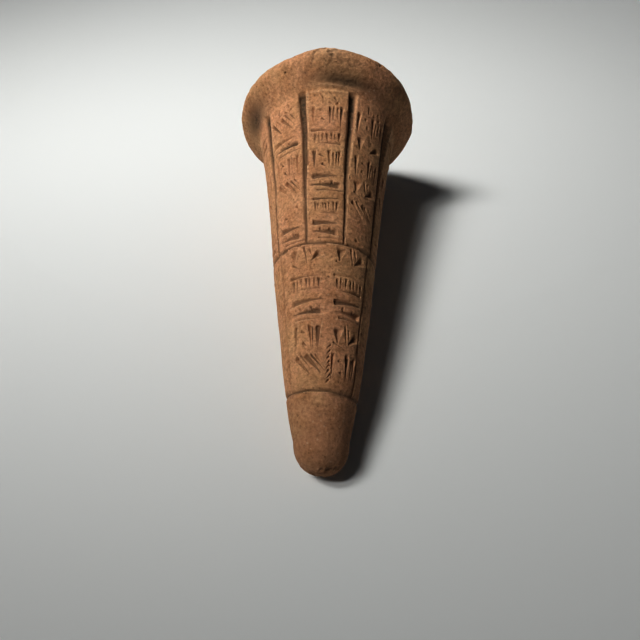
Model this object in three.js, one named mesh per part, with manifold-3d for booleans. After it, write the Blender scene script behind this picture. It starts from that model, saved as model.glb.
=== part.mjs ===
// Foundation cone: a hand-shaped clay nail with a flanged head and rows of pressed strokes,
// lying on its rim and its tip. Millimetres, +Z up, the head towards +Y.
import * as THREE from 'three';
import { mergeVertices } from 'three/addons/utils/BufferGeometryUtils.js';
import Module from 'manifold-3d';

// Form: stations run along the cone's own axis from the tip, radii stand square to it
const tipLength = 8.6; // the rounded end
const tipFullness = 2.3; // 2 is an ellipse, more is blunter
const shank = [
  { station: tipLength, radius: 7.4 },
  { station: 30, radius: 11.3 },
  { station: 70, radius: 16.4 },
  { station: 112, radius: 22.8 }, // neck
];
const filletRadius = 2.8; // turn from the neck to the flange
const flangeSlope = 44; // degrees between the flange's underside and the axis
const rimRadius = 30;
const rimRound = 3; // radius of the rounded edge
const rimStation = 121.4; // where the rim is widest
const domeRadius = 52; // the plain domed face of the head
const restTilt = 11.2; // degrees the axis climbs towards the head when the cone lies down
const restFlat = 0.45; // depth of the worn spots it lies on

// Facets
const around = 44;
const facetTurn = 2.3; // degrees, keeps facet edges off the ruled lines
const tipRows = 5;
const shankRows = 8;
const filletRows = 2;
const flangeRows = 3;
const rimRows = 5;
const headRows = 3;
const poleRadius = 1; // closer to the axis than this the clay stays round
const weldDistance = 1e-4; // points closer than this are one

// Places where the potter's hand left the circle, angles from the top towards +X
const handMarks = [
  { station: 121, angle: -3, height: 1.0, length: 5, spread: 8 }, // lump on the rim
  { station: 121, angle: -29, height: -0.75, length: 6, spread: 17 }, // flattened rim
  { station: 121, angle: 77, height: -0.5, length: 6, spread: 12 },
  { station: 115.4, angle: 15, height: -1.1, length: 1.5, spread: 25 }, // hollows in the flange
  { station: 116, angle: -74, height: -1.1, length: 2.6, spread: 18 },
  { station: 64, angle: -75, height: 0.2, length: 14, spread: 25 },
  { station: 14, angle: -85, height: 0.3, length: 10, spread: 40 },
  { station: 2, angle: 40, height: -0.6, length: 3, spread: 35 }, // knocked tip
];

// Ruled lines
const upperRing = 61.4;
const lowerRing = 19.5;
const lowerRingSkew = -3; // degrees, it dips towards the tip on the +X side
const ringWidth = 0.9;
const ringDepth = 0.65;
const columnCount = 9;
const columnAngle = 360 / columnCount;
const columnFoot = { width: 1.0, depth: 0.45 };
const columnTop = { width: 3.0, depth: 1.4 };
const columnTopStation = 111;
const panelAngles = [-56, 54, 180];
const panelRule = { width: 0.8, depth: 0.4 };
const ruleSteps = 3;
const ruleLap = 0.2; // how far a rule runs past the middle of a ring

// Pressed strokes: the stylus leaves a wide deep head and a tail that runs out
const headShare = 0.3; // where the deepest point lies, in stroke widths behind the head
const tailShare = 0.2; // what is left of width and depth at the tail
const strokeBend = 5.5; // longest straight run of a stroke that goes round the shank
const clearance = 0.4; // how far a cut starts above the clay
const uprights = { length: 6.4, width: 1.2, depth: 0.7 };
const combs = { length: 3, width: 1.0, depth: 0.6 };
const bars = { width: 1.9, depth: 0.8 };
const slants = { length: 6.4, width: 1.5, depth: 0.75 };
const wedges = { length: 4, width: 3.0, depth: 1.2 };
const toTip = 0; // headings, in degrees
const toRight = 90;
const slanting = 40;
const rowPitch = 7.8;
const columnRowTop = 104.5;
const columnFill = 0.7; // share of a column that its strokes take up
const barFill = 0.94; // share of a row's free width that a bar takes up
const panelRowTop = 57.5;

// Row patterns from the head towards the tip
const facingColumns = [
  { column: 0, rows: ['uprights', 'combs', 'uprights', 'bars', 'combs', 'bars'] },
  { column: 1, rows: ['uprights', 'wedges', 'uprights', 'wedges', 'slants', 'bare'] },
  { column: 8, rows: ['slants', 'bars', 'uprights', 'slants', 'bare', 'bars'] },
];
const plainColumn = ['bars', 'bare', 'uprights', 'slants', 'bare', 'bars'];
const plainPanel = ['bars', 'bare', 'uprights', 'bare', 'slants'];
const panelGroups = [
  { angle: -22, span: 40, rows: ['wedges', 'combs', 'bars', 'uprights', 'slants'] },
  { angle: 30, span: 40, rows: ['wedges', 'combs', 'bars', 'wedges', 'uprights'] },
  { angle: 104, span: 34, rows: plainPanel },
  { angle: 151, span: 34, rows: plainPanel },
  { angle: -151, span: 34, rows: plainPanel },
  { angle: -104, span: 34, rows: plainPanel },
];

const toRadians = THREE.MathUtils.degToRad;

// Shank radius: the smooth cubic through the four measured stations
function shankRadius(station) {
  let radius = 0;
  for (const point of shank) {
    let share = point.radius;
    for (const other of shank) {
      if (other !== point) share *= (station - other.station) / (point.station - other.station);
    }
    radius += share;
  }
  return radius;
}

function bodyRadius(station) {
  if (station >= tipLength) return shankRadius(station);
  const short = Math.pow((tipLength - station) / tipLength, tipFullness);
  return shank[0].radius * Math.pow(1 - short, 1 / tipFullness);
}

function angleBetween(first, second) {
  return THREE.MathUtils.euclideanModulo(first - second + 180, 360) - 180;
}

// How far the clay stands out of round at a place
function handOffset(station, angle) {
  let offset = 0;
  for (const mark of handMarks) {
    const along = (station - mark.station) / mark.length;
    const aside = angleBetween(angle, mark.angle) / mark.spread;
    offset += mark.height * Math.exp(-along * along - aside * aside);
  }
  return offset;
}

// A point of the cone's own frame: axis along +Y, angle 0 towards +Z, 90 towards +X
function atRadius(station, angle, radius) {
  const turn = toRadians(angle);
  return new THREE.Vector3(radius * Math.sin(turn), station, radius * Math.cos(turn));
}

function onSurface(station, angle, height) {
  return atRadius(station, angle, bodyRadius(station) + handOffset(station, angle) + height);
}

// Half section, radius across and station up, from the tip round to the middle of the head
function sectionPoints() {
  const points = [new THREE.Vector2(0, 0)];
  for (let row = 1; row <= tipRows; row += 1) {
    const turn = (Math.PI / 2) * (row / tipRows);
    const station = tipLength * (1 - Math.pow(Math.cos(turn), 2 / tipFullness));
    points.push(new THREE.Vector2(bodyRadius(station), station));
  }
  const neck = shank[shank.length - 1].station;
  for (let row = 1; row <= shankRows; row += 1) {
    const station = tipLength + (neck - tipLength) * (row / shankRows);
    points.push(new THREE.Vector2(shankRadius(station), station));
  }
  const step = 0.1;
  const neckSlope = Math.atan((shankRadius(neck) - shankRadius(neck - step)) / step);
  const slope = toRadians(flangeSlope);
  const hollowX = shankRadius(neck) + filletRadius * Math.cos(neckSlope);
  const hollowY = neck - filletRadius * Math.sin(neckSlope);
  const hollow = new THREE.EllipseCurve(
    hollowX, hollowY, filletRadius, filletRadius, Math.PI - neckSlope, Math.PI - slope, true);
  points.push(...hollow.getPoints(filletRows).slice(1));
  const edgeX = rimRadius - rimRound;
  const domeStation = rimStation - Math.sqrt((domeRadius - rimRound) ** 2 - edgeX ** 2);
  const domeTurn = Math.atan2(rimStation - domeStation, edgeX);
  const edge = new THREE.EllipseCurve(edgeX, rimStation, rimRound, rimRound, -slope, domeTurn, false);
  const dome = new THREE.EllipseCurve(
    0, domeStation, domeRadius, domeRadius, domeTurn, Math.PI / 2, false);
  const flange = new THREE.LineCurve(points[points.length - 1], edge.getPoint(0));
  points.push(...flange.getPoints(flangeRows).slice(1, -1));
  points.push(...edge.getPoints(rimRows), ...dome.getPoints(headRows).slice(1));
  points[points.length - 1].x = 0;
  return points;
}

function bodyGeometry() {
  const geometry = new THREE.LatheGeometry(sectionPoints(), around, toRadians(facetTurn));
  const place = geometry.attributes.position;
  for (let index = 0; index < place.count; index += 1) {
    const point = new THREE.Vector3().fromBufferAttribute(place, index);
    const radius = Math.hypot(point.x, point.z);
    if (radius > poleRadius) {
      const angle = THREE.MathUtils.radToDeg(Math.atan2(point.x, point.z));
      const grown = atRadius(point.y, angle, radius + handOffset(point.y, angle));
      place.setXYZ(index, grown.x, grown.y, grown.z);
    }
  }
  return geometry;
}

// A closed solid through a run of three-cornered sections
function loftGeometry(sections) {
  const corners = sections.flat();
  const index = [0, 2, 1];
  for (let run = 0; run < sections.length - 1; run += 1) {
    const near = run * 3;
    const far = near + 3;
    for (let side = 0; side < 3; side += 1) {
      const next = (side + 1) % 3;
      index.push(near + side, near + next, far + next, near + side, far + next, far + side);
    }
  }
  const last = corners.length - 3;
  index.push(last, last + 1, last + 2);
  const geometry = new THREE.BufferGeometry().setFromPoints(corners);
  geometry.setIndex(index);
  return geometry;
}

// One stroke of the stylus; heading 0 runs to the tip, 90 round to the right
function strokeGeometry(station, angle, heading, size) {
  const turn = toRadians(heading);
  const radius = bodyRadius(station);
  const runs = Math.ceil(Math.abs(size.length * Math.sin(turn)) / strokeBend);
  const steps = Math.max(runs, 1);
  const place = (along, across, height) => {
    const down = along * Math.cos(turn) - across * Math.sin(turn);
    const round = along * Math.sin(turn) + across * Math.cos(turn);
    return onSurface(station - down, angle + THREE.MathUtils.radToDeg(round / radius), height);
  };
  const sections = [];
  for (let step = 0; step <= steps; step += 1) {
    const along = size.length * (step / steps);
    const left = 1 - (1 - tailShare) * (step / steps);
    const depth = size.depth * left;
    const half = (size.width / 2) * left * (1 + clearance / depth);
    sections.push([
      place(along, half, clearance),
      place(along, -half, clearance),
      place(along + headShare * size.width * left, 0, -depth),
    ]);
  }
  return loftGeometry(sections);
}

// A ruled groove along the axis that follows the shank
function ruleGeometry(fromStation, toStation, angle, from, to) {
  const sections = [];
  for (let step = 0; step <= ruleSteps; step += 1) {
    const share = step / ruleSteps;
    const station = THREE.MathUtils.lerp(fromStation, toStation, share);
    const depth = THREE.MathUtils.lerp(from.depth, to.depth, share);
    const width = THREE.MathUtils.lerp(from.width, to.width, share) * (1 + clearance / depth);
    const aside = THREE.MathUtils.radToDeg(width / 2 / bodyRadius(station));
    sections.push([
      onSurface(station, angle - aside, clearance),
      onSurface(station, angle + aside, clearance),
      onSurface(station, angle, -depth),
    ]);
  }
  return loftGeometry(sections);
}

function ringGeometry(station, skew) {
  const half = (ringWidth / 2) * (1 + clearance / ringDepth);
  const rise = (shankRadius(station + half) - shankRadius(station - half)) / 2;
  const outside = shankRadius(station) + clearance;
  const section = [
    new THREE.Vector2(outside - rise, -half),
    new THREE.Vector2(outside + rise, half),
    new THREE.Vector2(shankRadius(station) - ringDepth, 0),
    new THREE.Vector2(outside - rise, -half),
  ];
  const ring = new THREE.LatheGeometry(section, around, toRadians(-facetTurn));
  ring.rotateZ(toRadians(skew));
  ring.translate(0, station, 0);
  return ring;
}

// Patterns of strokes in one row; wide is the free width there, places are shares of it
const rowPatterns = {
  bare: () => [],
  combs: (press, wide) => [
    press(-0.48, 2, toRight, { ...combs, length: barFill * wide }),
    ...[-0.36, 0.02, 0.4].map((share) => press(share, 1, toTip, combs)),
  ],
  uprights: (press) => [-0.4, 0.1, 0.44].map((share) => press(share, 3, toTip, uprights)),
  bars: (press, wide) => [
    press(-0.48, 2, toRight, { ...bars, length: barFill * wide }),
    press(0.48, -1, -toRight, { ...bars, length: barFill * wide }),
  ],
  slants: (press) => [-0.46, -0.06].map((share) => press(share, 2.6, slanting, slants)),
  wedges: (press) => [
    press(-0.3, 2.4, toTip, wedges),
    press(0.46, 1, slanting - toRight, wedges),
  ],
};

// Presses rows of strokes one below another, centred on an angle
function rowGeometries(rows, topStation, angle, span) {
  return rows.flatMap((pattern, row) => {
    const station = topStation - row * rowPitch;
    const wide = toRadians(span) * bodyRadius(station);
    const press = (share, rise, heading, size) => (
      strokeGeometry(station + rise, angle + share * span, heading, size));
    return rowPatterns[pattern](press, wide);
  });
}

function inscriptionGeometries() {
  const cuts = [ringGeometry(upperRing, 0), ringGeometry(lowerRing, lowerRingSkew)];
  for (let column = 0; column < columnCount; column += 1) {
    const middle = column * columnAngle;
    const facing = facingColumns.find((item) => item.column === column);
    const rows = facing ? facing.rows : plainColumn;
    cuts.push(...rowGeometries(rows, columnRowTop, middle, columnAngle * columnFill));
    cuts.push(ruleGeometry(
      upperRing - ruleLap, columnTopStation, middle + columnAngle / 2, columnFoot, columnTop));
  }
  for (const group of panelGroups) {
    cuts.push(...rowGeometries(group.rows, panelRowTop, group.angle, group.span));
  }
  for (const angle of panelAngles) {
    cuts.push(ruleGeometry(lowerRing - ruleLap, upperRing + ruleLap, angle, panelRule, panelRule));
  }
  return cuts;
}

const wasm = await Module();
wasm.setup();

function solidOf(geometry) {
  geometry.deleteAttribute('normal');
  geometry.deleteAttribute('uv');
  const joined = mergeVertices(geometry, weldDistance);
  return new wasm.Manifold(new wasm.Mesh({
    numProp: 3,
    vertProperties: new Float32Array(joined.attributes.position.array),
    triVerts: new Uint32Array(joined.index.array),
  }));
}

function geometryOf(solid) {
  const mesh = solid.getMesh();
  const geometry = new THREE.BufferGeometry();
  geometry.setAttribute('position', new THREE.BufferAttribute(mesh.vertProperties, 3));
  geometry.setIndex(new THREE.BufferAttribute(mesh.triVerts, 1));
  return geometry;
}

// Lays the cone on its rim and tip, sunk by the worn spots and centred over the origin
function restPlacement(geometry) {
  const placement = new THREE.Matrix4().makeRotationX(toRadians(restTilt));
  const lying = geometry.clone().applyMatrix4(placement);
  lying.computeBoundingBox();
  const middle = lying.boundingBox.getCenter(new THREE.Vector3());
  const sink = lying.boundingBox.min.z + restFlat;
  return placement.premultiply(new THREE.Matrix4().makeTranslation(-middle.x, -middle.y, -sink));
}

const body = bodyGeometry();
const placement = restPlacement(body);
let carved = solidOf(body.applyMatrix4(placement));
for (const cut of inscriptionGeometries()) {
  carved = carved.subtract(solidOf(cut.applyMatrix4(placement)));
}
const groundSize = 10 * rimRadius;
const ground = new THREE.BoxGeometry(groundSize, groundSize, groundSize);
carved = carved.subtract(solidOf(ground.translate(0, 0, -groundSize / 2)));

const firedClay = new THREE.MeshStandardMaterial({ color: 0xa5754f, roughness: 0.95, metalness: 0 });
const cone = new THREE.Mesh(geometryOf(carved), firedClay);
cone.name = 'clay_cone';

const foundationCone = new THREE.Group();
foundationCone.add(cone);

export default foundationCone;
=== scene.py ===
import math
import random
import bmesh
import bpy
from mathutils import Matrix, Vector, kdtree, noise


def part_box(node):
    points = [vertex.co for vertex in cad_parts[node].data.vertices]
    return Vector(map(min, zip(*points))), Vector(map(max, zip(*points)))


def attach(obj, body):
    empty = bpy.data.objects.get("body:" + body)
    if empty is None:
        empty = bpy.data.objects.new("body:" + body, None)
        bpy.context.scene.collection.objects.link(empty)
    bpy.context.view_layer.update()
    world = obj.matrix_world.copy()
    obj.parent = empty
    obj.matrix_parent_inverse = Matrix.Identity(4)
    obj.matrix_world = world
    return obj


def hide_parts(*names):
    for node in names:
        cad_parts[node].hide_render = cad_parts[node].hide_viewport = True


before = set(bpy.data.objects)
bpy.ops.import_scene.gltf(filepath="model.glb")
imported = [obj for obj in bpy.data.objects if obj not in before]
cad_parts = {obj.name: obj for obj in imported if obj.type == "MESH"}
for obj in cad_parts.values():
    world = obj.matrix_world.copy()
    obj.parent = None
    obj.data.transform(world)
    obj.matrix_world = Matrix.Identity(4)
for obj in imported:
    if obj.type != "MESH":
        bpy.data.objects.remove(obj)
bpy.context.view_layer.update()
print("frame loaded")

# Fired clay cone. Everything is in mm in the cone's own frame (axis +Y, the top of the lying
# cone +Z, angles in degrees from the top towards +X) until it is laid down at the end.
cone = {
    "shank": [(8.6, 7.4), (30, 11.3), (70, 16.4), (112, 22.8)],  # station and radius, round tip to neck
    "tipFullness": 2.3,  # 2 is an ellipse, more is blunter
    "filletRadius": 2.8,  # turn from neck to flange
    "flangeSlope": 44,
    "rimRadius": 30,
    "rimRound": 3,
    "rimStation": 121.4,  # where the rim is widest
    "domeRadius": 52,  # plain face of the head
    "restTilt": 11.2,  # the axis climbs this much towards the head
    "restFlat": 0.45,  # depth of the worn spots underneath
    "around": 138,  # mesh columns
    "rowLength": 1.05,  # mesh rows along the shank
    "tipRows": 10,
    "filletRows": 4,
    "flangeRows": 8,
    "rimRows": 10,
    "headRows": 16,
    "mergeDistance": 1e-4,
    "facing": 95,  # degrees either side of the top that get the finest mesh
    # mesh refining: reach round a mark, least depth of a ruled line, on the facing side only
    "refining": [(1.0, 0.04, False), (0.4, 0.1, True)],
    "refinedWidth": 0.4,  # share of a stroke's width that is added to the reach
    "refinedFlange": (-1, 22),  # from this far past the neck, outside this radius
    "finestTurn": (3, 30),  # up to this far past the neck, degrees either side of the top
    "axisRadius": 1,  # nearer to the axis no mark is made
    # out of round: station, angle, height, length along, degrees around
    "handMarks": [
        (121, -3, 1.0, 5, 8),  # lump on the rim
        (121, -29, -0.75, 6, 17),  # flattened rim
        (121, 77, -0.5, 6, 12),
        (64, -75, 0.2, 14, 25),
        (14, -85, 0.3, 10, 40),
        (2, 40, -0.6, 3, 35),  # knocked tip
    ],
    "hollows": [(115.4, 15, -1.1, 1.5, 25), (116.0, -74, -1.1, 2.6, 18)],  # dirty ones in the flange
    "hollowDirt": 0.85,  # per mm
    "ledges": [(112.3, 3, 0.42, 0.45, 15), (114.0, 6, 0.35, 0.4, 14)],  # edges above the facing column
    "ledgeHighlight": 2,  # painted highlight on the ledges, per mm
    "waves": [(16, 0.16), (5, 0.08), (1.6, 0.055)],  # unevenness: size and height
    "roughTip": 2.5,  # the waves grow this much on the knocked tip and the flange
    "roughFlange": 2.3,
    "roughRise": 3,  # mm past the neck until they have grown
    "roughLump": (121.5, 1, 2.5, 3.5, 10),  # as the hand marks
    # chips: station, angle, radius, depth
    "chips": [
        (119.8, 3, 0.8, 0.3),
        (118.6, -28, 0.5, 0.4),
        (0.7, 35, 1.4, 0.5),
        (0.9, 5, 1.0, 0.35),
        (1.6, 60, 0.9, 0.35),
    ],
    # ragged cracks: station and angle of both ends, radius, depth
    "cracks": [
        ((117.6, -10.5), (121.4, -8.5), 0.45, 0.3),
        ((121.9, -9), (122.9, -1), 0.5, 0.5),
        ((120.6, 1), (121.6, 5), 0.4, 0.3),
        ((120.9, 32), (121.9, 34), 0.45, 0.4),
        ((120.6, 46), (121.5, 48), 0.45, 0.4),
    ],
    "crackStep": 0.35,  # mm between the holes that make up a crack
    "crackStray": 0.6,  # in radii
    "crackRadiusSpread": (0.7, 1.4),
    "crackDepthSpread": (0.5, 1.1),
    "freshClay": [(121.6, 2, 1, 2.6, 10)],  # pale break on the lump, as the hand marks
    "tipPaintedShade": (26, 0.3, 1.5),  # painted shade: the tip is darker below this station, standing in for light that falls off towards it: amount, and how fast it comes
    "holes": 45,  # small ones strewn over the clay
    "holeRadius": (0.25, 0.5),
    "holeDepth": (0.5, 0.9),  # in radii
    "holeRagged": (0.5, 0.9),  # unevenness of a hole's edge: amount and size
    "holeDirt": 0.7,
    "holeReach": 1.6,  # mm, no hole goes further
    "behindRim": 2,  # mm past the widest line where a chip may still lie
    "seed": 7,
    "ruling": {
        "upperRing": 61.4,
        "lowerRing": 19.5,
        "lowerRingSkew": -3,
        "ring": (0.6, 0.55, 0.8),  # width, depth and dirt
        "columns": 9,
        "columnFoot": (0.7, 0.45, 0.8),
        "columnTop": (2.5, 1.4, 1.0),
        "columnSwell": 1.6,  # more keeps a line thin for longer
        "columnLean": [0.1, 1.0, 0.6, 0.2, 0.2, 0.2, 0.2, 0.2, 0.1],  # right sides lean out, in widths
        "columnTopStation": 112,
        "columnRunOut": 1.2,
        "panelRules": {-56: (0.7, 0.25, 0.2), 54: (0.7, 0.4, 0.5), 180: (0.8, 0.3, 0.3)},
        "wander": 0.4,  # how far a ruled line strays
        "wanderLength": 12,
        "lip": 0.18,
        "mouth": 0.55,  # half the mouth of a line, in widths
        "floor": 0.28,  # half its flat floor, in widths
        "shoulder": (2.2, 0.15),  # worn edge: reach in half mouths, share of the depth
        "wearAndPaintedHighlight": (1.2, 0.4),  # rubbed edge with a painted highlight: place and reach in half mouths
        "leftHighlight": 0.3,  # the left edge gets less of the painted highlight
        "dirtFade": (2.7, 4.8),  # dirt in the middle, where 1 is full, and loss per width
    },
    # pressed strokes: length, width, depth and how much of the bed is wall (1 is a plain V);
    # length 0 runs across the row
    "strokeSizes": {
        "upright": (6.4, 1.25, 0.9, 0.6),
        "comb": (3, 1.0, 0.75, 0.6),
        "combBar": (0, 1.0, 0.7, 0.5),
        "bar": (0, 1.9, 0.95, 0.45),
        "slant": (6.4, 1.5, 0.95, 0.45),
        "wedge": (4, 3.0, 1.3, 0.9),
        "fine": (3, 0.75, 0.6, 0.8),
        "long": (5.6, 0.8, 0.65, 0.8),
        "thinBar": (0, 0.75, 0.6, 0.7),
        "nick": (1.4, 1.1, 0.7, 0.6),
        "barb": (1.8, 0.75, 0.55, 0.7),
    },
    # one row of each pattern: kind, place across the row, rise in mm, heading;
    # heading 0 runs towards the tip, 90 round to the right
    "patterns": {
        "bare": [],
        "crown": [],
        "bars": [("bar", -0.48, 2, 90), ("bar", 0.48, -1, -90)],
        "combs": [("combBar", -0.48, 2, 90), ("comb", -0.36, 1, 0), ("comb", 0.02, 1, 0),
                  ("comb", 0.4, 1, 0)],
        "uprights": [("upright", -0.4, 3, 0), ("upright", 0.1, 3, 0), ("upright", 0.44, 3, 0)],
        "slants": [("slant", -0.46, 2.6, 40), ("slant", -0.06, 2.6, 40)],
        "wedges": [("wedge", -0.3, 2.4, 0), ("wedge", 0.46, 1, -50)],
    },
    # finer strokes between them, on the side that the photograph shows
    "finePatterns": {
        "bare": [("nick", 0.3, 1.4, 30), ("nick", -0.24, -1.6, 70)],
        "bars": [("nick", -0.2, 0.4, 20), ("nick", 0.16, 0.4, 20), ("thinBar", -0.3, -2.6, 90)],
        "combs": [("fine", -0.24, 1, 0), ("fine", -0.11, 1, 0), ("fine", 0.14, 1, 0),
                  ("fine", 0.27, 1, 0), ("thinBar", 0.48, -2.3, -90)],
        "uprights": [("long", 0.22, 2.6, 0), ("long", 0.33, 2.6, 0), ("nick", -0.22, 1.6, 60),
                     ("nick", -0.16, -1.4, 50)],
        "slants": [("long", -0.3, 2.9, 40), ("long", 0.1, 2.9, 40), ("fine", 0.28, 2.7, 40)],
        "wedges": [("long", 0.0, 3, 8), ("fine", 0.12, 2.6, 12), ("fine", -0.44, -1.6, 60)],
        "crown": [("fine", -0.12, 1.6, 0), ("nick", 0.2, 1.4, 30), ("nick", 0.34, -0.3, -35),
                  ("nick", 0.06, -0.6, 60)],
    },
    "rows": {
        "pitch": 7.8,
        "columnTop": 104.5,
        "crownStation": 109.2,  # a last row of small strokes over the facing columns
        "columnFill": 0.7,
        "panelTop": 57.5,
        "headShare": 0.3,
        "tailShare": 0.2,
        "barFill": 0.94,  # share of the row that a bar crosses
        "tailRunOut": 0.35,  # mm past the end of a stroke
        "lip": 0.16,  # clay pushed up beside a stroke, as a share of its depth
        "lipStart": -0.1,  # in lengths of the stroke
        "lipPlace": (1.2, 0.4),  # place and reach in half widths
        "lipSide": (0.6, 0.8),  # how much it keeps to the right, and towards the tip
        "lopsided": 0.4,  # how far the deepest line lies off the middle
        "dirt": (0.25, 0.95),
        "stray": 0.25,  # mm
        "strayTurn": 4,  # degrees
        "lengthSpread": (0.9, 1.08),
        "widthSpread": (0.88, 1.15),
        "depthSpread": (0.85, 1.1),
        "pointGap": 0.6,  # mm between the points that stand for a stroke
        "reach": 2.2,  # mm from those points, no stroke goes further
        "pastNeck": 4,  # mm past the neck where strokes and ruled lines have run out
        "facingColumns": {
            0: ["uprights", "combs", "uprights", "bars", "combs", "bars"],
            1: ["uprights", "wedges", "uprights", "wedges", "slants", "bare"],
            8: ["slants", "bars", "uprights", "slants", "bare", "bars"],
        },
        "plainColumn": ["bars", "bare", "uprights", "slants", "bare", "bars"],
        "plainPanel": ["bars", "bare", "uprights", "bare", "slants"],
        "facingPanels": {
            -22: ["wedges", "combs", "bars", "uprights", "slants"],
            30: ["wedges", "combs", "bars", "wedges", "uprights"],
        },
        "plainPanelAngles": [104, 151, -151, -104],
        "facingSpan": 40,
        "plainSpan": 34,
        "barbs": 8,  # short slanting strokes one below another between the panels
        "barbTop": (31.5, 10),
        "barbFoot": (22.5, 11),
        "barbHeading": -42,
    },
}
ruling = cone["ruling"]
rows = cone["rows"]
tipLength, tipRadius = cone["shank"][0]
neck, neckRadius = cone["shank"][-1]
shankStations = [station for station, radius in cone["shank"]]
millimetre = 0.001  # in metres


def clamp(value):
    return min(max(value, 0), 1)


# Smooth curve through the given radii
def shankRadius(station):
    radius = 0
    for own, size in cone["shank"]:
        share = size
        for other in shankStations:
            if other != own:
                share *= (station - other) / (own - other)
        radius += share
    return radius


def bodyRadius(station):
    if station >= tipLength:
        return shankRadius(station)
    short = max((tipLength - station) / tipLength, 0) ** cone["tipFullness"]
    return tipRadius * max(1 - short, 0) ** (1 / cone["tipFullness"])


def angleBetween(first, second):
    return (first - second + 180) % 360 - 180


def bulge(mark, station, angle):
    markStation, markAngle, height, length, spread = mark
    along = (station - markStation) / length
    aside = angleBetween(angle, markAngle) / spread
    return height * math.exp(-along * along - aside * aside)


def bulges(marks, station, angle):
    return sum(bulge(mark, station, angle) for mark in marks)


def handOffset(station, angle):
    return bulges(cone["handMarks"] + cone["hollows"], station, angle)


def chainEnd(bm):
    return max(bm.verts, key=lambda vert: vert.co.y)


def coneProfile(bm):
    slope = math.radians(cone["flangeSlope"])
    step = 0.1  # mm over which the neck's slope is taken
    neckSlope = math.atan((neckRadius - shankRadius(neck - step)) / step)
    # the tip is a quarter turn, pulled to its blunt form
    start = bm.verts.new((0, 0, 0))
    bmesh.ops.spin(bm, geom=[start], cent=(0, tipLength, 0), axis=(1, 0, 0),
                   angle=-math.pi / 2, steps=cone["tipRows"])
    for vert in bm.verts:
        share = max(1 - vert.co.y / tipLength, 0) ** (2 / cone["tipFullness"])
        vert.co.y = tipLength * (1 - share)
        vert.co.z = bodyRadius(vert.co.y)
    # shank
    made = bmesh.ops.extrude_vert_indiv(bm, verts=[chainEnd(bm)])
    made["verts"][0].co = (0, neck, neckRadius)
    cuts = round((neck - tipLength) / cone["rowLength"]) - 1
    bmesh.ops.subdivide_edges(bm, edges=made["edges"], cuts=cuts)
    for vert in bm.verts:
        if vert.co.y > tipLength:
            vert.co.z = shankRadius(vert.co.y)
    # hollow, flange and rim
    hollow = Vector((0, neck - cone["filletRadius"] * math.sin(neckSlope),
                     neckRadius + cone["filletRadius"] * math.cos(neckSlope)))
    bmesh.ops.spin(bm, geom=[chainEnd(bm)], cent=hollow, axis=(1, 0, 0),
                   angle=slope - neckSlope, steps=cone["filletRows"])
    rimRound = cone["rimRound"]
    edge = Vector((0, cone["rimStation"], cone["rimRadius"] - rimRound))
    domeStation = edge.y - math.sqrt((cone["domeRadius"] - rimRound) ** 2 - edge.z ** 2)
    domeTurn = math.atan2(edge.y - domeStation, edge.z)
    made = bmesh.ops.extrude_vert_indiv(bm, verts=[chainEnd(bm)])
    made["verts"][0].co = edge + rimRound * Vector((0, -math.sin(slope), math.cos(slope)))
    bmesh.ops.subdivide_edges(bm, edges=made["edges"], cuts=cone["flangeRows"] - 1)
    bmesh.ops.spin(bm, geom=[chainEnd(bm)], cent=edge, axis=(1, 0, 0),
                   angle=-slope - domeTurn, steps=cone["rimRows"])
    bmesh.ops.spin(bm, geom=[chainEnd(bm)], cent=(0, domeStation, 0), axis=(1, 0, 0),
                   angle=domeTurn - math.pi / 2, steps=cone["headRows"])
    chainEnd(bm).co.z = 0


strokes = []
chance = random.Random(cone["seed"])


def press(kind, station, angle, heading, wide=0):
    length, width, depth, wall = cone["strokeSizes"][kind]
    stray = rows["stray"]
    turn = math.radians(heading + chance.uniform(-rows["strayTurn"], rows["strayTurn"]))
    strokes.append({
        "station": station + chance.uniform(-stray, stray),
        "angle": angle + math.degrees(chance.uniform(-stray, stray) / bodyRadius(station)),
        "cos": math.cos(turn),
        "sin": math.sin(turn),
        "length": (length or wide) * chance.uniform(*rows["lengthSpread"]),
        "width": width * chance.uniform(*rows["widthSpread"]),
        "depth": depth * chance.uniform(*rows["depthSpread"]),
        "wall": wall,
        "dirt": chance.uniform(*rows["dirt"]),
    })


def pressRow(pattern, station, angle, span, facing):
    wide = rows["barFill"] * math.radians(span) * bodyRadius(station)
    marks = cone["patterns"][pattern] + (cone["finePatterns"][pattern] if facing else [])
    for kind, share, rise, heading in marks:
        press(kind, station + rise, angle + share * span, heading, wide)


def pressInscription():
    columnAngle = 360 / ruling["columns"]
    columnSpan = columnAngle * rows["columnFill"]
    for column in range(ruling["columns"]):
        facing = column in rows["facingColumns"]
        for row, pattern in enumerate(rows["facingColumns"].get(column, rows["plainColumn"])):
            station = rows["columnTop"] - row * rows["pitch"]
            pressRow(pattern, station, column * columnAngle, columnSpan, facing)
    for column in rows["facingColumns"]:
        pressRow("crown", rows["crownStation"], column * columnAngle, columnSpan, True)
    for angle, rowNames in rows["facingPanels"].items():
        for row, pattern in enumerate(rowNames):
            pressRow(pattern, rows["panelTop"] - row * rows["pitch"], angle, rows["facingSpan"], True)
    for angle in rows["plainPanelAngles"]:
        for row, pattern in enumerate(rows["plainPanel"]):
            pressRow(pattern, rows["panelTop"] - row * rows["pitch"], angle, rows["plainSpan"], False)
    topStation, topAngle = rows["barbTop"]
    footStation, footAngle = rows["barbFoot"]
    for barb in range(rows["barbs"]):
        share = barb / (rows["barbs"] - 1)
        station = topStation + (footStation - topStation) * share
        angle = topAngle + (footAngle - topAngle) * share
        press("barb", station, angle, rows["barbHeading"])


def onShank(station, angle):
    radius = bodyRadius(station)
    turn = math.radians(angle)
    return Vector((radius * math.sin(turn), station, radius * math.cos(turn)))


def finderOf(points):
    tree = kdtree.KDTree(len(points))
    for number, point in enumerate(points):
        tree.insert(point, number)
    tree.balance()
    return tree


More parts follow.
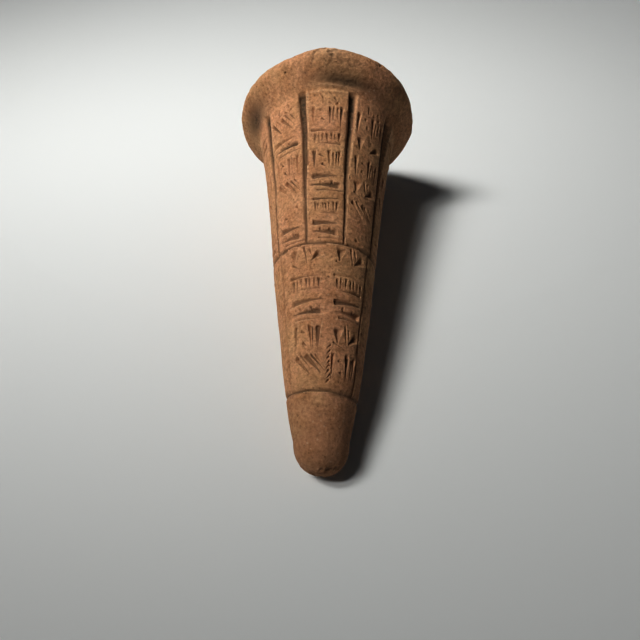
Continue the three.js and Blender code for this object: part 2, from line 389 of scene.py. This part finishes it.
# Points along every stroke, to find the strokes near a place, and the stroke that owns each point
def strokeTree():
    points = []
    owners = []
    for index, stroke in enumerate(strokes):
        count = max(2, math.ceil(stroke["length"] / rows["pointGap"]))
        radius = bodyRadius(stroke["station"])
        for step in range(count + 1):
            along = stroke["length"] * step / count
            angle = stroke["angle"] + math.degrees(along * stroke["sin"] / radius)
            points.append(onShank(stroke["station"] - along * stroke["cos"], angle))
            owners.append(index)
    return finderOf(points), owners


# A stroke at a place: depth, height of the lip beside it, dirt, and a painted highlight on the lip. The
# deepest line lies towards the head, and the lip stands on the sides towards the tip and the right.
def strokeRelief(stroke, station, angle):
    down = stroke["station"] - station
    around = math.radians(angleBetween(angle, stroke["angle"])) * bodyRadius(stroke["station"])
    along = down * stroke["cos"] + around * stroke["sin"]
    across = around * stroke["cos"] - down * stroke["sin"]
    share = along / stroke["length"]
    left = 1 - (1 - rows["tailShare"]) * clamp(share)
    half = stroke["width"] / 2 * left
    front = clamp(along / (rows["headShare"] * stroke["width"]))
    back = clamp(1 - (along - stroke["length"]) / rows["tailRunOut"])
    deepest = rows["lopsided"] * half * stroke["sin"]
    wide = half - deepest if across > deepest else half + deepest
    bed = clamp((1 - abs(across - deepest) / wide) / stroke["wall"]) * front * back
    depth = stroke["depth"] * left
    edge = 0
    if rows["lipStart"] < share < 1 and bed == 0:
        toRight, toTip = rows["lipSide"]
        lipPlace, lipReach = rows["lipPlace"]
        side = math.copysign(1, across)
        favour = (1 + side * (toRight * stroke["cos"] - toTip * stroke["sin"])) / 2
        edge = clamp(favour) * clamp(1 - abs(abs(across) / half - lipPlace) / lipReach)
    # the lip is also painted paler: painted highlight on the sides that face the light
    return depth * bed, depth * rows["lip"] * edge, stroke["dirt"] * bed, edge * left


# Cross-section of a ruled line: a bed with steep sides and worn shoulders, where the right side may lean
# out. Gives depth, dirt, and a rubbed edge painted paler on the right side, and on a ring on the side
# towards the tip: painted highlight.
def groove(aside, width, depth, dirt, lean=0):
    onRight = aside > 0
    reach = (ruling["mouth"] + (lean if onRight else 0)) * width
    share = abs(aside) / reach
    bed = clamp((1 - share) / (1 - ruling["floor"] * width / reach))
    shoulderReach, shoulderShare = ruling["shoulder"]
    shoulder = max(1 - share / shoulderReach, 0) ** 2
    highlightPlace, highlightReach = ruling["wearAndPaintedHighlight"]
    # painted highlight: the edge on the right, and on a ring the edge towards the tip, is painted paler
    wearAndPaintedHighlight = clamp(1 - abs(share - highlightPlace) / highlightReach) * (1 if onRight else ruling["leftHighlight"])
    dirtMiddle, dirtLoss = ruling["dirtFade"]
    dirtAndPaintedShade = dirt * clamp(dirtMiddle - dirtLoss * abs(aside) / width)
    return depth * ((1 - shoulderShare) * bed + shoulderShare * shoulder), dirtAndPaintedShade, wearAndPaintedHighlight


# The deepest ruled line at a place
def ruledRelief(station, angle, point):
    radius = bodyRadius(station)
    stray = ruling["wander"] * noise.noise(point / ruling["wanderLength"])
    skew = math.tan(math.radians(ruling["lowerRingSkew"])) * radius * math.sin(math.radians(angle))
    lowerEnd, upperEnd = ruling["lowerRing"] + skew, ruling["upperRing"]
    found = [groove(end - station + stray, *ruling["ring"]) for end in (lowerEnd, upperEnd)]
    if lowerEnd < station < upperEnd:
        for lineAngle, size in ruling["panelRules"].items():
            aside = math.radians(angleBetween(angle, lineAngle)) * radius + stray
            found.append(groove(aside, *size))
    if station > upperEnd:
        columnAngle = 360 / ruling["columns"]
        aside = math.radians((angle % columnAngle) - columnAngle / 2) * radius + stray
        line = int((angle % 360) // columnAngle)
        share = min((station - upperEnd) / (ruling["columnTopStation"] - upperEnd), 1)
        swell = share ** ruling["columnSwell"]
        width, depth, dirt = [foot + (top - foot) * swell
                              for foot, top in zip(ruling["columnFoot"], ruling["columnTop"])]
        runOut = clamp(1 - (station - ruling["columnTopStation"]) / ruling["columnRunOut"])
        depth, dirt, wearAndPaintedHighlight = groove(aside, width, depth, dirt, swell * ruling["columnLean"][line])
        found.append((depth * runOut, dirt * runOut, wearAndPaintedHighlight * runOut))
    return max(found)


def polar(point):
    return point.y, math.degrees(math.atan2(point.x, point.z)), math.hypot(point.x, point.z)


# Chips, cracks and holes as points on the clay with a radius and a depth
def strewHoles(bm):
    inFront = [vert for vert in bm.verts if vert.co.y < cone["rimStation"] + cone["behindRim"]]
    usualRadius = 25  # weighs a turn against a distance along the cone

    def onClay(station, angle):
        nearest = min(inFront, key=lambda vert: abs(vert.co.y - station)
                      + abs(math.radians(angleBetween(polar(vert.co)[1], angle))) * usualRadius)
        return nearest.co.copy()

    holes = []
    for station, angle, radius, depth in cone["chips"]:
        holes.append((onClay(station, angle), radius, depth))
    for start, end, radius, depth in cone["cracks"]:
        first, last = onClay(*start), onClay(*end)
        steps = math.ceil((last - first).length / cone["crackStep"])
        for step in range(steps + 1):
            stray = Vector([chance.uniform(-radius, radius) for axis in range(3)]) * cone["crackStray"]
            point = first.lerp(last, step / steps) + stray
            ownRadius = radius * chance.uniform(*cone["crackRadiusSpread"])
            ownDepth = depth * chance.uniform(*cone["crackDepthSpread"])
            holes.append((point, ownRadius, ownDepth))
    corners = [vert.co.copy() for vert in bm.verts]
    for hole in range(cone["holes"]):
        radius = chance.uniform(*cone["holeRadius"])
        point = chance.choice(corners)
        holes.append((point, radius, radius * chance.uniform(*cone["holeDepth"])))
    return finderOf([point for point, radius, depth in holes]), holes


# Halves the mesh near strokes, holes and ruled lines, and where light rakes the flange and rim
def refine(bm, strokeFinder, owners, holeFinder, holes):
    flangeStart, flangeRadius = cone["refinedFlange"]
    turnEnd, turnSpread = cone["finestTurn"]
    for reach, leastDepth, finest in cone["refining"]:
        edges = set()
        for face in bm.faces:
            middle = face.calc_center_median()
            station, angle, radius = polar(middle)
            facing = abs(angle) < cone["facing"]
            if finest and not facing:
                continue
            number, distance = strokeFinder.find(middle)[1:]
            wanted = distance < reach + strokes[owners[number]]["width"] * cone["refinedWidth"]
            number, distance = holeFinder.find(middle)[1:]
            wanted = wanted or distance < holes[number][1] + reach / 2
            if station < neck + rows["pastNeck"]:
                wanted = wanted or ruledRelief(station, angle, middle)[0] > leastDepth
            if station > neck + flangeStart and facing and radius > flangeRadius:
                inTurn = station < neck + turnEnd and abs(angle) < turnSpread
                wanted = wanted or not finest or inTurn
            if wanted:
                edges.update(face.edges)
        bmesh.ops.subdivide_edges(bm, edges=list(edges), cuts=1, use_grid_fill=True)
        print("  refined to", len(bm.faces), "faces")
    for vert in bm.verts:
        station, angle, radius = polar(vert.co)
        if tipLength < station < neck:
            vert.co = onShank(station, angle)


# Moves the clay out or in, and keeps where dirt lies, the painted shade towards the tip, and where edges
# are rubbed and carry a painted highlight
def carve(bm, strokeFinder, owners, holeFinder, holes):
    dirtAndPaintedShadeLayer = bm.verts.layers.float.new("dirtAndPaintedShade")
    wearAndPaintedHighlightLayer = bm.verts.layers.float.new("wearAndPaintedHighlight")
    paintedShadeTop, paintedShade, paintedShadeRate = cone["tipPaintedShade"]
    raggedAmount, raggedSize = cone["holeRagged"]
    bm.normal_update()
    shifts = []
    for vert in bm.verts:
        station, angle, radius = polar(vert.co)
        outward = Vector((vert.co.x, 0, vert.co.z)).normalized()
        ledge = bulges(cone["ledges"], station, angle)
        shift = Vector()
        # painted shade: darker towards the tip, standing in for light that falls off there
        dirtAndPaintedShade = paintedShade * clamp(paintedShadeRate * (1 - station / paintedShadeTop))
        wearAndPaintedHighlight = 0
        rough = 1
        if radius > cone["axisRadius"]:
            shift += outward * (handOffset(station, angle) + ledge)
        if radius > cone["axisRadius"] and station < neck + rows["pastNeck"]:
            depth, lineSoil, wearAndPaintedHighlight = ruledRelief(station, angle, vert.co)
            dirtAndPaintedShade = max(dirtAndPaintedShade, lineSoil)
            lip = ruling["lip"] * wearAndPaintedHighlight
            for number in {owners[item[1]] for item in strokeFinder.find_range(vert.co, rows["reach"])}:
                own, ownLip, ownSoil, ownLipHighlight = strokeRelief(strokes[number], station, angle)
                depth = max(depth, own)
                lip = max(lip, ownLip)
                dirtAndPaintedShade = max(dirtAndPaintedShade, ownSoil)
                wearAndPaintedHighlight = max(wearAndPaintedHighlight, ownLipHighlight)
            shift += outward * (lip - depth)
        if station > neck:
            rough = 1 + (cone["roughFlange"] - 1) * clamp((station - neck) / cone["roughRise"])
            rough += bulge(cone["roughLump"], station, angle)
            dirtAndPaintedShade = max(dirtAndPaintedShade, clamp(-cone["hollowDirt"] * bulges(cone["hollows"], station, angle)))
            wearAndPaintedHighlight = max(wearAndPaintedHighlight, bulges(cone["freshClay"], station, angle))
            # painted highlight: the ledges are painted paler
            wearAndPaintedHighlight = max(wearAndPaintedHighlight, clamp(cone["ledgeHighlight"] * ledge))
        elif station < tipLength:
            rough = 1 + (cone["roughTip"] - 1) * (1 - station / tipLength)
        for size, height in cone["waves"]:
            shift += vert.normal * height * rough * noise.noise(vert.co / size + Vector((size, 0, 0)))
        sunk = 0
        for point, number, distance in holeFinder.find_range(vert.co, cone["holeReach"]):
            holeRadius, holeDepth = holes[number][1:]
            ragged = distance * (1 + raggedAmount * noise.noise(vert.co / raggedSize))
            bowl = max(1 - (ragged / holeRadius) ** 2, 0)
            sunk = max(sunk, holeDepth * bowl)
            dirtAndPaintedShade = max(dirtAndPaintedShade, cone["holeDirt"] * bowl)
        shift -= vert.normal * sunk
        shifts.append(shift)
        vert[dirtAndPaintedShadeLayer] = dirtAndPaintedShade
        vert[wearAndPaintedHighlightLayer] = wearAndPaintedHighlight
    for vert, shift in zip(bm.verts, shifts):
        vert.co += shift


# Box of the lying cone in metres, without the fine relief
def lyingBox(bm):
    tilt = Matrix.Rotation(math.radians(cone["restTilt"]), 4, "X")
    points = []
    for vert in bm.verts:
        station, angle, radius = polar(vert.co)
        grown = vert.co.copy()
        if radius > cone["axisRadius"]:
            grown += Vector((vert.co.x, 0, vert.co.z)).normalized() * handOffset(station, angle)
        points.append(tilt @ grown * millimetre)
    low = Vector([min(point[axis] for point in points) for axis in range(3)])
    high = Vector([max(point[axis] for point in points) for axis in range(3)])
    return low, high


# Lays the cone on its rim and tip where the CAD one lies, and wears it flat underneath
def layDown(bm, plainBox):
    low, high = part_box("clay_cone")
    plainLow, plainHigh = plainBox
    tilt = Matrix.Rotation(math.radians(cone["restTilt"]), 4, "X")
    scale = Matrix.Scale(millimetre, 4)
    middle = (plainLow + plainHigh) / 2
    target = (low + high) / 2
    sink = low.z - plainLow.z - millimetre * cone["restFlat"]
    place = Matrix.Translation((target.x - middle.x, target.y - middle.y, sink))
    bmesh.ops.transform(bm, matrix=place @ scale @ tilt, verts=bm.verts)
    for vert in bm.verts:
        vert.co.z = max(vert.co.z, low.z)


def firedClayCone():
    bm = bmesh.new()
    coneProfile(bm)
    bmesh.ops.spin(bm, geom=bm.verts[:] + bm.edges[:], cent=(0, 0, 0), axis=(0, 1, 0),
                   angle=2 * math.pi, steps=cone["around"], use_merge=True)
    bmesh.ops.remove_doubles(bm, verts=bm.verts, dist=cone["mergeDistance"])
    bmesh.ops.recalc_face_normals(bm, faces=bm.faces)
    print("  body", len(bm.faces), "faces")
    plainBox = lyingBox(bm)
    pressInscription()
    finders = strokeTree() + strewHoles(bm)
    print("  strokes", len(strokes))
    refine(bm, *finders)
    carve(bm, *finders)
    layDown(bm, plainBox)
    bmesh.ops.triangulate(bm, faces=bm.faces)
    bmesh.ops.recalc_face_normals(bm, faces=bm.faces)
    for face in bm.faces:
        face.smooth = True
    mesh = bpy.data.meshes.new("fired_clay_cone")
    bm.to_mesh(mesh)
    bm.free()
    piece = bpy.data.objects.new("fired_clay_cone", mesh)
    bpy.context.collection.objects.link(piece)
    print("clay cone", len(mesh.polygons), "triangles")
    return piece


# Clay: sandy, warm, with brown dirt in the low places, painted shade towards the tip, and rubbed edges
# with a painted highlight on the sides that face the light
clayLook = {
    "ochre": (0.53, 0.318, 0.172, 1),
    "pink": (0.535, 0.295, 0.17, 1),
    "warm": (0.36, 0.178, 0.082, 1),
    # pale clay of rubbed edges and breaks, also the painted highlight on edges that face the light
    "rubbedAndHighlight": (0.66, 0.43, 0.26, 1),
    # dirt colour, also used for the painted shade towards the tip
    "dirt": (0.05, 0.038, 0.026, 1),
    "speck": (0.09, 0.045, 0.022, 1),
    "sand": (0.64, 0.46, 0.31, 1),
    # clouds: scale per metre, detail and roughness
    "broad": (60, 3, 0.5),
    "patch": (210, 4, 0.6),
    "grain": (1000, 3, 0.7),
    # grains: scale per metre, how loosely they lie, amount
    "speckGrains": (620, 0.9, 0.4),
    "sandGrains": (560, 1.0, 0.3),
    "grainEdge": (0.12, 0.2),  # where a grain fades out, in cells
    # where in its cloud each finish comes on, and how much of it there is
    "pinkRange": (0.4, 0.6),
    "warmRange": (0.35, 0.7),
    "warmAmount": (0, 0.6),
    "rubbedAndHighlightRange": (0.3, 0.6),
    "rubbedAndHighlightAmount": (0, 0.8),
    "shadeRange": (0.3, 0.7),
    "shadeAmount": (0.63, 1.31),
    "dirtRange": (0.35, 0.6),
    "dirtAmount": (0.6, 1.0),
    "sandRange": (0.5, 0.6),
    "roughness": 0.93,
    "shine": 0.2,
    "patchBump": (0.7, 0.00015),  # strength, and height in metres
    "grainBump": (1.0, 0.00035),
}

# colour sockets of a Mix node, whose names repeat
mixAmount, mixFirst, mixSecond, mixResult = 0, 6, 7, 2


def addNode(tree, kind, values=None, **settings):
    node = tree.nodes.new(kind)
    for name, value in settings.items():
        setattr(node, name, value)
    for name, value in (values or {}).items():
        node.inputs[name].default_value = value
    return node


def mixColour(tree, amount, first, second, blend="MIX"):
    node = addNode(tree, "ShaderNodeMix", data_type="RGBA", blend_type=blend)
    for number, source in ((mixAmount, amount), (mixFirst, first), (mixSecond, second)):
        socket = node.inputs[number]
        if isinstance(source, bpy.types.NodeSocket):
            tree.links.new(source, socket)
        else:
            socket.default_value = source
    return node.outputs[mixResult]


def stretch(tree, value, span, result=(0, 1)):
    limits = {"From Min": span[0], "From Max": span[1], "To Min": result[0], "To Max": result[1]}
    node = addNode(tree, "ShaderNodeMapRange", limits)
    tree.links.new(value, node.inputs["Value"])
    return node.outputs["Result"]


def clayMaterial():
    material = bpy.data.materials.new("fired_clay")
    material.use_nodes = True
    tree = material.node_tree
    shader = tree.nodes["Principled BSDF"]
    place = addNode(tree, "ShaderNodeTexCoord").outputs["Object"]

    def cloud(name):
        scale, detail, roughness = clayLook[name]
        node = addNode(tree, "ShaderNodeTexNoise",
                       {"Scale": scale, "Detail": detail, "Roughness": roughness})
        tree.links.new(place, node.inputs["Vector"])
        return node.outputs["Fac"]

    def grains(name):
        scale, looseness, amount = clayLook[name]
        cells = addNode(tree, "ShaderNodeTexVoronoi", {"Scale": scale, "Randomness": looseness})
        tree.links.new(place, cells.inputs["Vector"])
        return stretch(tree, cells.outputs["Distance"], clayLook["grainEdge"], (amount, 0))

    def product(first, second):
        node = addNode(tree, "ShaderNodeMath", operation="MULTIPLY", use_clamp=True)
        tree.links.new(first, node.inputs[0])
        tree.links.new(second, node.inputs[1])
        return node.outputs[0]

    def bump(name, height):
        strength, distance = clayLook[name]
        node = addNode(tree, "ShaderNodeBump", {"Strength": strength, "Distance": distance})
        tree.links.new(height, node.inputs["Height"])
        return node

    broad = cloud("broad")
    patch = cloud("patch")
    grain = cloud("grain")
    dirtAndPaintedShade = addNode(tree, "ShaderNodeAttribute", attribute_name="dirtAndPaintedShade").outputs["Fac"]
    wearAndPaintedHighlight = addNode(tree, "ShaderNodeAttribute", attribute_name="wearAndPaintedHighlight").outputs["Fac"]
    pinkness = stretch(tree, broad, clayLook["pinkRange"])
    colour = mixColour(tree, pinkness, clayLook["ochre"], clayLook["pink"])
    warmth = stretch(tree, patch, clayLook["warmRange"], clayLook["warmAmount"])
    colour = mixColour(tree, warmth, colour, clayLook["warm"])
    # rubbed edges and breaks, and the painted highlight on edges that face the light
    rubbedAndHighlight = product(wearAndPaintedHighlight, stretch(tree, patch, clayLook["rubbedAndHighlightRange"], clayLook["rubbedAndHighlightAmount"]))
    colour = mixColour(tree, rubbedAndHighlight, colour, clayLook["rubbedAndHighlight"])
    shade = stretch(tree, grain, clayLook["shadeRange"], clayLook["shadeAmount"])
    colour = mixColour(tree, 1.0, colour, shade, "MULTIPLY")
    # dirt in the low places, and painted shade towards the tip
    dirtAndPaintedShadeAmount = product(dirtAndPaintedShade, stretch(tree, grain, clayLook["dirtRange"], clayLook["dirtAmount"]))
    colour = mixColour(tree, dirtAndPaintedShadeAmount, colour, clayLook["dirt"])
    colour = mixColour(tree, grains("speckGrains"), colour, clayLook["speck"])
    pale = product(grains("sandGrains"), stretch(tree, broad, clayLook["sandRange"]))
    colour = mixColour(tree, pale, colour, clayLook["sand"])
    tree.links.new(colour, shader.inputs["Base Color"])
    patchBump = bump("patchBump", patch)
    grainBump = bump("grainBump", grain)
    tree.links.new(patchBump.outputs["Normal"], grainBump.inputs["Normal"])
    tree.links.new(grainBump.outputs["Normal"], shader.inputs["Normal"])
    shader.inputs["Roughness"].default_value = clayLook["roughness"]
    shader.inputs["Specular IOR Level"].default_value = clayLook["shine"]
    return material


# Pale floor
floorLook = {"size": 80.0, "colour": (0.72, 0.74, 0.74, 1), "roughness": 0.9}


def paleFloor():
    bm = bmesh.new()
    bmesh.ops.create_grid(bm, x_segments=1, y_segments=1, size=floorLook["size"] / 2)
    mesh = bpy.data.meshes.new("floor")
    bm.to_mesh(mesh)
    bm.free()
    floor = bpy.data.objects.new("floor", mesh)
    bpy.context.collection.objects.link(floor)
    material = bpy.data.materials.new("pale_floor")
    material.use_nodes = True
    shader = material.node_tree.nodes["Principled BSDF"]
    shader.inputs["Base Color"].default_value = floorLook["colour"]
    shader.inputs["Roughness"].default_value = floorLook["roughness"]
    mesh.materials.append(material)


# Camera in metres, as the photograph was taken
cameraSetup = {
    "location": (0.00092, -0.12218, 0.14248),
    "pitch": 51.93,  # degrees below the horizon
    "yaw": 1.112,
    "focalShare": 0.875,  # focal length in picture widths
    "sensorWidth": 36,  # mm
    "nearest": 0.005,  # where its view starts
}


def photoCamera():
    camera = bpy.data.cameras.new("camera")
    camera.sensor_width = cameraSetup["sensorWidth"]
    camera.lens = camera.sensor_width * cameraSetup["focalShare"]
    camera.clip_start = cameraSetup["nearest"]
    holder = bpy.data.objects.new("camera", camera)
    holder.location = cameraSetup["location"]
    holder.rotation_euler = (math.radians(90 - cameraSetup["pitch"]), 0, math.radians(cameraSetup["yaw"]))
    bpy.context.collection.objects.link(holder)
    bpy.context.scene.camera = holder


# Light: a far softbox and a near one with a grid, both high on the left, and a little even fill in
# front of a pale backdrop
lightSetup = {
    "target": (-0.03, 0.1, 0),
    "from": (-0.616, -0.117, 1.0),
    # distance, size across and along the way it leans, spread in degrees, power
    "softboxes": {"far": (30.0, 2.5, 10.9, 180, 3500), "near": (0.8, 0.06, 0.29, 38, 0.33)},
    "colour": (1.0, 0.985, 0.96),
    "fillColour": (0.9, 0.95, 1.0, 1),
    "fillStrength": 0.045,
    "backdropColour": (0.95, 0.98, 1.0, 1),  # seen behind the floor, gives no light
    "backdropStrength": 0.35,
    "viewGamma": 0.75,  # the photograph's deep shadows
}


def studioLight():
    direction = Vector(lightSetup["from"]).normalized()
    for name, (distance, across, along, spread, power) in lightSetup["softboxes"].items():
        light = bpy.data.lights.new(name, "AREA")
        light.shape = "RECTANGLE"
        light.size, light.size_y = across, along
        light.spread = math.radians(spread)
        light.energy = power
        light.color = lightSetup["colour"]
        holder = bpy.data.objects.new(name, light)
        holder.location = Vector(lightSetup["target"]) + direction * distance
        holder.rotation_euler = direction.to_track_quat("Z", "Y").to_euler()
        bpy.context.collection.objects.link(holder)
    world = bpy.data.worlds.new("studio")
    world.use_nodes = True
    tree = world.node_tree
    fill = tree.nodes["Background"]
    fill.inputs["Color"].default_value = lightSetup["fillColour"]
    fill.inputs["Strength"].default_value = lightSetup["fillStrength"]
    backdrop = addNode(tree, "ShaderNodeBackground", {"Color": lightSetup["backdropColour"],
                                                      "Strength": lightSetup["backdropStrength"]})
    seen = addNode(tree, "ShaderNodeLightPath").outputs["Is Camera Ray"]
    choice = addNode(tree, "ShaderNodeMixShader")
    tree.links.new(seen, choice.inputs["Fac"])
    tree.links.new(fill.outputs["Background"], choice.inputs[1])
    tree.links.new(backdrop.outputs["Background"], choice.inputs[2])
    tree.links.new(choice.outputs["Shader"], tree.nodes["World Output"].inputs["Surface"])
    bpy.context.scene.world = world


piece = firedClayCone()
piece.data.materials.append(clayMaterial())
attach(piece, "root")
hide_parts("clay_cone")
print("clay finished")
paleFloor()
photoCamera()
studioLight()
viewing = bpy.context.scene.view_settings
viewing.view_transform = "Standard"
viewing.gamma = lightSetup["viewGamma"]
print("floor, camera and light set")
